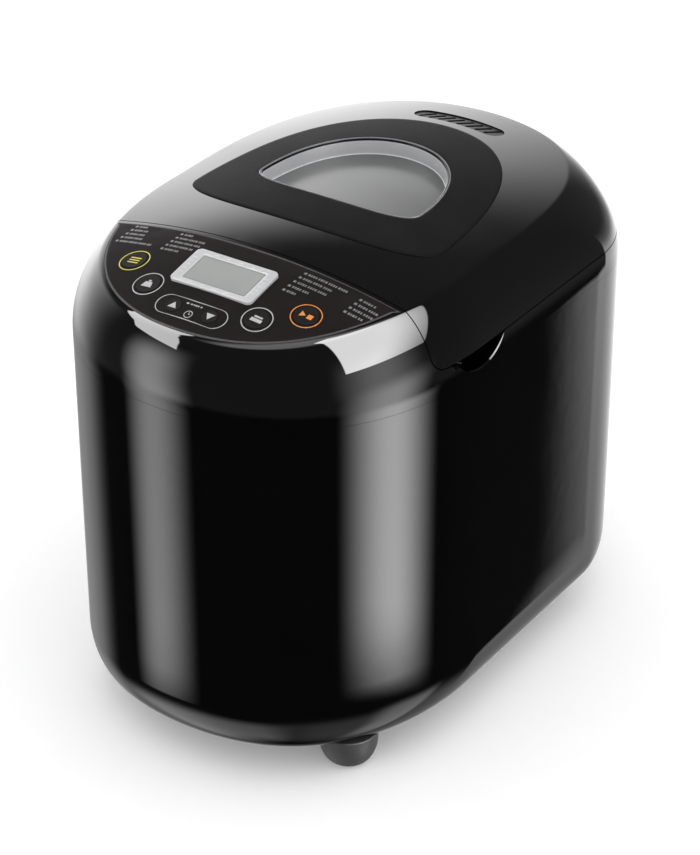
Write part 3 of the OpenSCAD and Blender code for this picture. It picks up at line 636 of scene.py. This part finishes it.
def make_upper_frame():
    obj = top_form(0, SEAM_Z, "upper_frame_shell")
    front_room = common(top_form(WALL, SEAM_Z - 2), across(-FAR, PANEL_BACK - 4))
    under_deck = common(prism(wall_plan(WALL), SEAM_Z - 2, DECK_Z - DECK_T), across(PANEL_BACK - 1, FAR))
    on_deck = common(prism(wall_plan(WALL + 0.2), DECK_Z, SPLIT_Z + 1), across(PANEL_BACK, FAR))
    pocket = crown_slab("tool", panel_outline(2), PANEL_C, -1.2, 12, steps=10)
    cut(obj, front_room, under_deck, on_deck, lid_zone(0), prism(panel_outline(4.8), 245, SKY), pocket)
    for s in (-1, 1):
        centre = s * (HALF_W - NOTCH_DEPTH / 2 - 2.1)
        fuse(obj, common(rod(NOTCH_R + 2.5, NOTCH_DEPTH + 0.2, (centre, NOTCH_Y, NOTCH_Z), "X", 96),
                         block(-FAR, -150, SEAM_Z, FAR, 50, SPLIT_Z)))
        near, far = s * KNUCKLE_X - KNUCKLE_HALF, s * KNUCKLE_X + KNUCKLE_HALF
        fuse(obj, barrel(near, far, BARREL_R),
             block(near, 152, HINGE_Z - BARREL_R, far, HINGE_Y, HINGE_Z - 0.2))
    opening = rounded_plan(CHAMBER_W - 2, CHAMBER_D - 2, 25, 12) + [0, AXIS_Y]
    cut(obj, prism(opening, SEAM_Z - 2, 246))
    for s in (-1, 1):
        cut(obj, rod(NOTCH_R, 20, (s * (HALF_W - NOTCH_DEPTH + 10), NOTCH_Y, NOTCH_Z), "X", 96),
            cone(NOTCH_R, NOTCH_R + 6, (s * (HALF_W - 0.6), NOTCH_Y, NOTCH_Z), s * 6))
    cut(obj, barrel(-21.9, 21.9, BARREL_R + KNUCKLE_GAP), barrel(-60, 60, PIN_R))
    smooth(obj, 17)
    return finish_piece(obj, "gloss_black", "body", "gloss_black", "upper_frame")


WINDOW_C, SURROUND_C = (0.0, 8.0), (0.0, 10.0)
window_plan = d_plan(50.5, 56.5, -22, 5)
surround_plan = d_plan(77.5, 92.5, -45, 13)


def vent_plan():
    """Plan of the steam vent: a slightly curved slot with round ends."""
    def arc(radius, angles, c=(0, VENT_Y - VENT_SWEEP)):
        return [(c[0] + radius * math.sin(a), c[1] + radius * math.cos(a)) for a in np.radians(angles)]

    def end(side, angles):
        return arc(VENT_R, np.array(angles) + side * VENT_HALF, arc(VENT_SWEEP, [side * VENT_HALF])[0])

    outer = arc(VENT_SWEEP + VENT_R, np.linspace(-VENT_HALF, VENT_HALF, 17))
    inner = arc(VENT_SWEEP - VENT_R, np.linspace(VENT_HALF, -VENT_HALF, 17))
    return np.array(outer + end(1, range(15, 166, 15)) + inner + end(-1, range(195, 346, 15)))[::-1]


def make_lid():
    obj = top_form(0, SEAM_Z, "lid_cover")
    hollow = common(top_form(WALL, SEAM_Z - 2), across(PANEL_BACK + CLEAR + WALL, FAR))
    posts = [(x, y) for x in (-93.6, 93.6) for y in (-40, 20, 75)]
    cut(hollow, *[rod(3, 100, (x, y, SEAM_Z + 50), "Z", 24) for x, y in posts])
    cut(obj, hollow, prism(surround_plan, 250, SKY), prism(vent_plan(), 250, SKY))
    common(obj, lid_zone(CLEAR + 0.2))
    fuse(obj, barrel(-LID_KNUCKLE_HALF, LID_KNUCKLE_HALF, BARREL_R),
         block(-LID_KNUCKLE_HALF, 156, HINGE_Z + 0.2, LID_KNUCKLE_HALF, HINGE_Y, HINGE_Z + BARREL_R))
    reach = KNUCKLE_HALF + KNUCKLE_GAP
    cut(obj, *[barrel(s * KNUCKLE_X - reach, s * KNUCKLE_X + reach, BARREL_R + KNUCKLE_GAP) for s in (-1, 1)])
    cut(obj, barrel(-60, 60, PIN_R + 0.05))
    smooth(obj, 17)
    return finish_piece(obj, "gloss_black", "lid", "gloss_black", "lid_shell")


def window_ring(name, outer, inner, lo, hi, steps, edge):
    """Ring along the window's edge, between two distances in from it."""
    return crown_ring(name, shrink(window_plan, outer, WINDOW_C), shrink(window_plan, inner, WINDOW_C),
                      lo, hi, steps, edge)


def make_window():
    opening = shrink(window_plan, -0.15, WINDOW_C)
    plate = shrink(surround_plan, 0.15, SURROUND_C)
    surround = crown_ring("window_surround_plate", plate, opening, -3.8, 0.5, 16, 0.35)
    lip = crown_ring("tool", shrink(surround_plan, -5, SURROUND_C), opening, -5, -3.6, 8, 0.1)
    skirt = window_ring("tool", -3.2, -0.15, PANE_TOP + 0.1, -3.6, 5, 0.1)
    fuse(surround, lip, skirt)
    smooth(surround, 30)
    finish_piece(surround, "surround_black", "lid", "satin_black", "window_surround")
    bead = window_ring("window_trim_bead", 0.55, 1.4, PANE_TOP + 0.1, 0.35, 7, 0.25)
    smooth(bead, 40)
    finish_piece(bead, "gloss_black", "lid", "gloss_black", "window_trim")
    # pale ring round the bead's outer edge: a painted highlight of the gloss-black bead
    bead_highlight_paint = window_ring("window_bead_edge", 0, 0.5, PANE_TOP + 0.1, 0.9, 5, 0.2)
    smooth(bead_highlight_paint, 40)
    finish_piece(bead_highlight_paint, "bead_highlight_paint", "lid", "gloss_black", "window_trim")
    wall = window_ring("window_wall", 1.45, 2.1, PANE_TOP + 0.02, -0.7, 7, 0.2)
    smooth(wall, 40)
    finish_piece(wall, "window_wall", "lid", "window_glass", "window_glass")
    # ledge ring between wall and pane; its pale colour is a painted highlight for the bright arc along the
    # pane's edge
    ledge = window_ring("painted_ledge_highlight", 2.15, 2.75, PANE_TOP + 0.02, PANE_TOP + 0.4, 5, 0.15)
    smooth(ledge, 40)
    finish_piece(ledge, "painted_ledge_highlight", "lid", "window_glass")
    pane = crown_slab("window_pane", shrink(window_plan, -2.9, WINDOW_C), WINDOW_C,
                      PANE_UNDER, PANE_TOP, 14, 0.4)
    smooth(pane, 30)
    finish_piece(pane, "window_glass", "lid", "window_glass", "window_glass")


# ---- key panel ----

def make_overlay():
    obj = crown_slab("panel_skin", panel_outline(2.15), PANEL_C, -1.15, 0, 24, 0.12)
    for name, (x, y) in KEYS.items():
        r = (TIMER_R if "timer" in name else KEY_R) + KEY_GAP
        hole = rod(r, 8, (0, 0, 0), "Z", 64)
        hole.data.transform(panel_matrix(x, y))
        cut(obj, hole)
    opening = prism(rounded_plan(BEZEL_W + 0.4, BEZEL_D + 0.4, 3.1), -6, 6)
    opening.data.transform(panel_matrix(0, DISPLAY_Y))
    cut(obj, opening)
    smooth(obj, 30)
    finish_piece(obj, "panel_print", "body", "panel_print", "panel_overlay")


def make_keys():
    for name, (x, y) in KEYS.items():
        r = TIMER_R if "timer" in name else KEY_R
        stem = [(0, -4.6), (2.5, -4.6), (2.5, -2.6)]
        flange = [(r + 0.8, -2.6), (r + 0.8, -1.7), (r, -1.7)]
        edge = [(r - 0.22 * (1 - math.cos(a)), 0.03 + 0.22 * math.sin(a))
                for a in np.radians([0, 30, 60, 90])]
        dish = [(r * k, 0.25 - 0.12 * (1 - k * k)) for k in (0.85, 0.7, 0.5, 0.25)]
        cap = lathe(name + "_cap", stem + flange + edge + dish + [(0, 0.13)], segments=72)
        cap.data.transform(panel_matrix(x, y))
        smooth(cap, 30)
        finish_piece(cap, "key_cap", name, "key_cap", name)


def make_display():
    outer, inner = rounded_plan(BEZEL_W, BEZEL_D, 3, 12), rounded_plan(38.4, 19.4, 0.8, 12)
    rings = [at_height(outer, -3), at_height(outer, 0.2)]
    rings += [at_height(outer * 0.995, 0.42), at_height(outer * 0.985, 0.5)]
    rings += [at_height(outer * (1 - k) + inner * k, z) for k, z in ((0.7, 0.5), (0.88, 0.42))]
    rings += [at_height(inner, 0.12), at_height(inner, -3)]
    bezel = from_rings("display_frame", rings, close_round=True)
    smooth(bezel, 35)
    pane = prism(rounded_plan(38, 19, 0.6, 8), -3, 0.1, "display_pane")
    # dark ring over the edge of the display glass: painted shade where the bezel meets the glass
    wide, narrow = rounded_plan(38.3, 19.3, 0.7, 8), rounded_plan(36.9, 17.9, 0.5, 8)
    border = from_rings("display_border", [at_height(wide, 0.06), at_height(wide, 0.13),
                                           at_height(narrow, 0.13), at_height(narrow, 0.06)],
                        close_round=True)
    for piece in (bezel, pane, border):
        piece.data.transform(panel_matrix(0, DISPLAY_Y))
    finish_piece(bezel, "bezel_grey", "body", "bezel_grey", "display_bezel")
    finish_piece(pane, "lcd", "body", "lcd", "display_glass")
    finish_piece(border, "lcd_edge_shade_paint", "body", "lcd")


def printed(name, shapes, mat, slot="panel_print", body="body", base=-0.03, top=0.05, place=None):
    """Ink of several closed shapes; without a place they lie on the crowned panel."""
    bm = bmesh.new()
    for shape in shapes:
        lift = [float(top_z(x, y)) for x, y in shape] if place is None else [0.0] * len(shape)
        lower = [bm.verts.new((x * MM, y * MM, (z + base) * MM)) for (x, y), z in zip(shape, lift)]
        upper = [bm.verts.new((x * MM, y * MM, (z + top) * MM)) for (x, y), z in zip(shape, lift)]
        bm.faces.new(lower[::-1])
        bm.faces.new(upper)
        for i in range(len(shape)):
            k = (i + 1) % len(shape)
            bm.faces.new((lower[i], lower[k], upper[k], upper[i]))
    bmesh.ops.recalc_face_normals(bm, faces=bm.faces)
    if place is not None:
        bm.transform(place)
    mesh = bpy.data.meshes.new(name)
    bm.to_mesh(mesh)
    bm.free()
    return finish_piece(add_object(name, mesh), mat, body, slot)


def ring_line(name, plan, width, c, mat, rise=0.09):
    """Thin ring on the crowned panel: a printed outline, and along the panel's edge a painted highlight band.
    """
    inner = shrink(plan, width, c)
    rings = [on_top(plan, -0.03), on_top(plan, rise), on_top(inner, rise), on_top(inner, -0.03)]
    line = from_rings(name, rings, close_round=True)
    return finish_piece(line, mat, "body", "panel_print")


def divided(plan, longest=1.5):
    """Plan with its long edges divided, so that it can follow the crown."""
    points = []
    for a, b in zip(plan, np.roll(plan, -1, axis=0)):
        count = max(1, math.ceil(np.linalg.norm(b - a) / longest))
        points += [a + (b - a) * i / count for i in range(count)]
    return np.array(points)


def bar(x, y, w, h):
    """Rectangle from its lower left corner."""
    return [(x, y), (x + w, y), (x + w, y + h), (x, y + h)]


def circle(r, c=(0, 0), n=72):
    turns = [2 * math.pi * i / n for i in range(n)]
    return np.array([(c[0] + r * math.cos(a), c[1] + r * math.sin(a)) for a in turns])


def word_row(x, y, length, h=1.5):
    """Short dashes in place of a line of words: one for its number, then the rest."""
    row = [bar(x, y, 1.5, h)]
    at, i = x + 2.6, 0
    while at < x + length - 0.6:
        w = (1.0, 0.7, 1.2, 0.8, 0.9)[i % 5]
        row.append(bar(at, y, w, h))
        at += w + (0.45 if i % 4 < 3 else 0.95)
        i += 1
    return row


def make_prints():
    # lists of programs: where each starts, the pitch of its rows and how long each row is
    lists = (
        (-76, -106.5, 3.6, (23, 15, 13, 12, 9)),
        (-46, -107.5, 3.6, (12, 17, 19, 19, 8)),
        (32, -110.5, 4.0, (9, 13, 20, 21, 27)),
        (66, -107, 3.9, (11, 14, 14, 10)),
    )
    rows = []
    for x, y, pitch, lengths in lists:
        for i, length in enumerate(lengths):
            rows += word_row(x + 0.5 * i, y + pitch * i, length)
    printed("program_rows", rows, "print_grey")
    # pale ring along the panel's edge: a painted highlight of the rim, not print
    ring_line("panel_edge_highlight_ring", panel_outline(2.2), 1.2, PANEL_C, "painted_rim_highlight", 0.04)
    key_marks = {
        "menu_key": ("print_yellow", [bar(-3.2, k, 6.4, 0.7) for k in (-2.2, -0.35, 1.5)]),
        "weight_key": ("print_light", [[(-3, -2.4), (3, -2.4), (2, 1.2), (-2, 1.2)],
                                       bar(-0.8, 1.5, 1.6, 1.1)]),
        "crust_key": ("print_light", [bar(-3.2, -2.0, 6.4, 2.2), bar(-2.4, 0.9, 4.8, 1.1)]),
        "start_key": ("print_orange", [[(-3.4, -1.9), (-0.3, 0), (-3.4, 1.9)], bar(0.7, -1.5, 2.9, 3.0)]),
        "timer_up_key": ("print_light", [[(-2.5, -1.8), (2.5, -1.8), (0, 2.2)]]),
        "timer_down_key": ("print_light", [[(-2.5, 1.8), (0, -2.2), (2.5, 1.8)]]),
    }
    for key, (mat, _) in key_marks.items():
        if "timer" not in key:
            ring_line(key + "_ring", circle(8.1, KEYS[key]), 0.5, KEYS[key], mat)
    timer_c = (0.0, TIMER_Y)
    pill = divided(rounded_plan(42, 12.6, 6.25, 14)) + np.array(timer_c)
    ring_line("timer_outline", pill, 0.45, timer_c, "print_light")
    clock_y = TIMER_Y - 2.7
    ring_line("clock_ring", circle(2.3, (0, clock_y), 40), 0.35, (0, clock_y), "print_light")
    hands = [bar(-0.17, clock_y - 0.1, 0.34, 1.5), bar(0.17, clock_y - 0.1, 0.95, 0.34)]
    printed("timer_marks", hands + word_row(-5.4, TIMER_Y + 3.2, 10, 0.9), "print_light")
    for key, (mat, shapes) in key_marks.items():
        x, y = KEYS[key]
        printed(key + "_mark", shapes, mat, "key_cap", key, 0.05, 0.29, panel_matrix(x, y))
    ticks = [bar(s * 21.9 - 1.1, k, 2.2, 0.55) for s in (-1, 1) for k in (-6.5, -3.4, -0.3, 2.8, 5.9)]
    ticks += [bar(k, s * 11.6 - 0.3, 2.6, 0.5) for s in (-1, 1) for k in (-14, -6.5, 1, 8.5)]
    printed("display_ticks", ticks, "print_white", "bezel_grey", "body", 0.4, 0.53,
            panel_matrix(0, DISPLAY_Y))


# ---- pan and feet ----

def make_pan():
    """Drawn pan with a rounded bottom, a flanged rim and the two pivots of its handle."""
    hole_r, corner_r, outer_bend, inner_bend, wall, base = 7, 22, 11, 9, 1.6, 2
    hole = rounded_plan(2 * hole_r, 2 * hole_r, hole_r, 12)

    def ring(inset, z):
        w, d = PAN_W - 2 * inset, PAN_D - 2 * inset
        return at_height(rounded_plan(w, d, max(corner_r - inset, 6), 12), z)

    bend = np.radians(np.linspace(0, 90, 9))
    rings = [at_height(hole, PAN_Z)]
    rings += [ring(outer_bend * (1 - math.sin(a)), PAN_Z + outer_bend * (1 - math.cos(a))) for a in bend]
    # the rim, from under its flange over its rounded edge to the inner wall
    flange = ((0, 1.8), (-2.6, 1.4), (-3.0, 1.7), (-3.5, 1.4), (-3.5, 0.5), (-3.1, 0.05),
              (-2.4, 0), (0.3, 0), (1.2, 0.4), (wall, 1.3))
    rings += [ring(inset, PAN_RIM_Z - drop) for inset, drop in flange]
    rings += [ring(wall + inner_bend * (1 - math.sin(a)), PAN_Z + base + inner_bend * (1 - math.cos(a)))
              for a in bend[::-1]]
    rings.append(at_height(hole, PAN_Z + base))
    obj = from_rings("pan_shell", [r + [0, AXIS_Y, 0] for r in rings], close_round=True)
    pivot_z = PAN_RIM_Z - 9
    for s in (-1, 1):
        start = AXIS_Y + s * (PAN_D / 2 - 0.8)
        fuse(obj, rod(2.5, 8.2, (0, start + s * 4.1, pivot_z), "Y", 32),
             rod(4.5, 1.8, (0, start + s * 0.9, pivot_z), "Y", 40))
    smooth(obj, 35)
    finish_piece(obj, "nonstick", "pan", "nonstick", "bread_pan")


def make_feet():
    for name, (x, y) in zip(("front_left", "front_right", "rear_left", "rear_right"), FEET):
        sole = [(0, 0.25), (5.5, 0.2), (6.2, 0), (7.6, 0)]
        curve = [(7 + 9 * math.sin(a), 15 - 15 * math.cos(a)) for a in np.radians(np.arange(9, 91, 5.4))]
        top = [(16, FLOOR_GAP - 0.6), (15.6, FLOOR_GAP - 0.15), (0, FLOOR_GAP - 0.15)]
        foot = lathe("foot_" + name + "_pad", sole + curve + top, (x, y, 0), 72)
        smooth(foot, 35)
        finish_piece(foot, "rubber_black", "body", "rubber_black", "foot_" + name)


make_housing()
make_upper_frame()
make_lid()
make_window()
make_overlay()
make_keys()
make_display()
make_prints()
make_pan()
make_feet()

# ---- the CAD nodes' finishes ----

for node, obj in frame["nodes"].items():
    obj.data.materials.clear()
    obj.data.materials.append(MAT[SLOT_OF[node]])

# ---- studio ----

FLOOR_HALF = 6.0
floor_mesh = bpy.data.meshes.new("floor")
corners = [(sx * FLOOR_HALF, sy * FLOOR_HALF, 0) for sx, sy in ((-1, -1), (1, -1), (1, 1), (-1, 1))]
floor_mesh.from_pydata(corners, [], [(0, 1, 2, 3)])
floor = add_object("floor", floor_mesh)
floor.data.materials.append(material("floor_white", (0.93, 0.93, 0.93), 0.9, Emission_Strength=0.15))
floor.visible_glossy = False


def direction(azimuth, elevation):
    """Unit vector; azimuth 0 faces the front (-Y) and 90 the right (+X)."""
    a, e = math.radians(azimuth), math.radians(elevation)
    return Vector((math.sin(a) * math.cos(e), -math.cos(a) * math.cos(e), math.sin(e)))


CAMERA_AZ, CAMERA_EL, CAMERA_DISTANCE = 34.06, 30.73, 1.4894
LENS, SENSOR = 113.7, 36
TARGET = Vector((0.0035, -0.0083, 0.1292))
camera_data = bpy.data.cameras.new("camera")
camera_data.sensor_width = SENSOR
camera_data.lens = LENS
camera = bpy.data.objects.new("camera", camera_data)
bpy.context.scene.collection.objects.link(camera)
toward = direction(CAMERA_AZ, CAMERA_EL)
camera.location = TARGET + toward * CAMERA_DISTANCE
camera.rotation_euler = toward.to_track_quat("Z", "Y").to_euler()
bpy.context.scene.camera = camera


def make_world():
    """White dome for diffuse light and the backdrop; soft boxes and strips for what the gloss mirrors."""
    world = bpy.data.worlds.new("studio")
    bpy.context.scene.world = world
    world.use_nodes = True
    nodes, links = world.node_tree.nodes, world.node_tree.links
    coords = nodes.new("ShaderNodeTexCoord")
    way = coords.outputs["Generated"]

    def math_node(how, a, b=None):
        node = nodes.new("ShaderNodeMath")
        node.operation = how
        for socket, value in zip(node.inputs, (a, b)):
            if isinstance(value, (int, float)):
                socket.default_value = value
            elif value is not None:
                links.new(value, socket)
        return node.outputs[0]

    def smooth_step(value, start, end):
        """0 at start and 1 at end, whichever of them is larger."""
        node = nodes.new("ShaderNodeMapRange")
        node.interpolation_type = "SMOOTHSTEP"
        node.inputs["From Min"].default_value = min(start, end)
        node.inputs["From Max"].default_value = max(start, end)
        node.inputs["To Min"].default_value = 0.0 if start < end else 1.0
        node.inputs["To Max"].default_value = 1.0 if start < end else 0.0
        links.new(value, node.inputs["Value"])
        return node.outputs["Result"]

    def band(value, a, b, c, d):
        """Rises from a to b, stays at 1 up to c and falls until d."""
        return math_node("MULTIPLY", smooth_step(value, a, b), smooth_step(value, d, c))

    split = nodes.new("ShaderNodeSeparateXYZ")
    links.new(way, split.inputs[0])
    x, y, z = split.outputs
    to_degrees = math.degrees(1)
    azimuth = math_node("MULTIPLY", math_node("ARCTAN2", x, math_node("MULTIPLY", y, -1)), to_degrees)
    rear_azimuth = math_node("MULTIPLY", math_node("ARCTAN2", math_node("MULTIPLY", x, -1), y), to_degrees)
    elevation = math_node("MULTIPLY", math_node("ARCSINE", z), to_degrees)

    def soft_box(*corners, soft=0.006):
        """Box of light whose edges join directions given as (azimuth, elevation), in turn."""
        shape = None
        ways = [direction(*c) for c in corners]
        inside = sum(ways, Vector()).normalized()
        for a, b in zip(ways, ways[1:] + ways[:1]):
            normal = a.cross(b).normalized()
            if normal.dot(inside) < 0:
                normal = -normal
            dot = nodes.new("ShaderNodeVectorMath")
            dot.operation = "DOT_PRODUCT"
            links.new(way, dot.inputs[0])
            dot.inputs[1].default_value = normal
            edge = smooth_step(dot.outputs["Value"], -soft, soft)
            shape = edge if shape is None else math_node("MULTIPLY", shape, edge)
        return shape

    def area(around, sideways, up):
        """Soft-edged patch of light, given by a band of azimuth and one of elevation, in degrees."""
        return math_node("MULTIPLY", band(around, *sideways), band(elevation, *up))

    # faint fill that sets the leaning frame off from the upright housing
    faint_fill = smooth_step(elevation, -27, -20)
    rear_left_box = soft_box((-115, 57), (-113, 47), (-60, 28), (-33, 27), (-38, 38), (-63, 55))
    # the large box is dimmer towards its rear and lower edge
    large_box = soft_box((68, 18), (112, 15), (142, 50), (-165, 78), (58, 74))
    falloff = smooth_step(math_node("SUBTRACT", azimuth, math_node("MULTIPLY", elevation, 0.95)), 115, 60)
    overhead = smooth_step(elevation, 60, 70)
    lights = [
        (0.12, faint_fill),
        # left strip, as the housing and as the frame above it mirror it
        (3.2, area(azimuth, (-60, -43, -42, -23), (-39, -34.5, -28, -20))),
        (4.3, area(azimuth, (-57, -40, -38, -19), (-28, -20, 4, 34))),
        # right strip, as the housing, the frame and the side of the lid mirror it
        (7.2, area(azimuth, (62, 96, 97, 123), (-37.4, -34.2, -29, -23))),
        (4.8, area(azimuth, (60, 92, 94, 116), (-29, -23, -14, 2))),
        (2.4, area(azimuth, (56, 87, 88, 112), (-14, 2, 14, 40))),
        # the two boxes with hard edges
        (11, rear_left_box),
        (16.5, math_node("MULTIPLY", large_box, falloff)),
        # edge light along the left outline, the flat right side and the rear
        (0.65, area(azimuth, (-150, -104, -98, -74), (-52, -38, -24, -8))),
        (0.9, area(rear_azimuth, (-29.4, -27.4, 30, 60), (-50, -32, -16, 2))),
        (1.2, area(rear_azimuth, (-29.4, -27.4, 20, 50), (-34, -22, -17, -7))),
        # glow from the rear and from overhead
        (2.9, area(rear_azimuth, (0, 46, 60, 115), (-30, -4, 20, 40))),
        (2.5, overhead),
        # light as from the floor, along the rounded bottom edge
        (1.1, area(azimuth, (85, 108, 124, 134), (-80, -60, -44, -37))),
        (1.2, area(azimuth, (-95, -60, 0, 40), (-85, -62, -52, -41))),
        (0.45, area(rear_azimuth, (-180, -120, 120, 180), (-90, -60, -50, -38))),
    ]
    total = 0.02            # what the darkest part of the room gives
    for strength, shape in lights:
        total = math_node("ADD", total, math_node("MULTIPLY", shape, strength))
    mirrored_light = nodes.new("ShaderNodeEmission")
    links.new(total, mirrored_light.inputs["Strength"])
    backdrop = nodes["Background"]
    backdrop.inputs["Color"].default_value = (1, 1, 1, 1)
    backdrop.inputs["Strength"].default_value = 1.12
    path = nodes.new("ShaderNodeLightPath")
    choice = nodes.new("ShaderNodeMixShader")
    links.new(path.outputs["Is Glossy Ray"], choice.inputs["Fac"])
    links.new(backdrop.outputs[0], choice.inputs[1])
    links.new(mirrored_light.outputs[0], choice.inputs[2])
    links.new(choice.outputs[0], nodes["World Output"].inputs["Surface"])


make_world()
bpy.context.scene.view_settings.view_transform = "Standard"
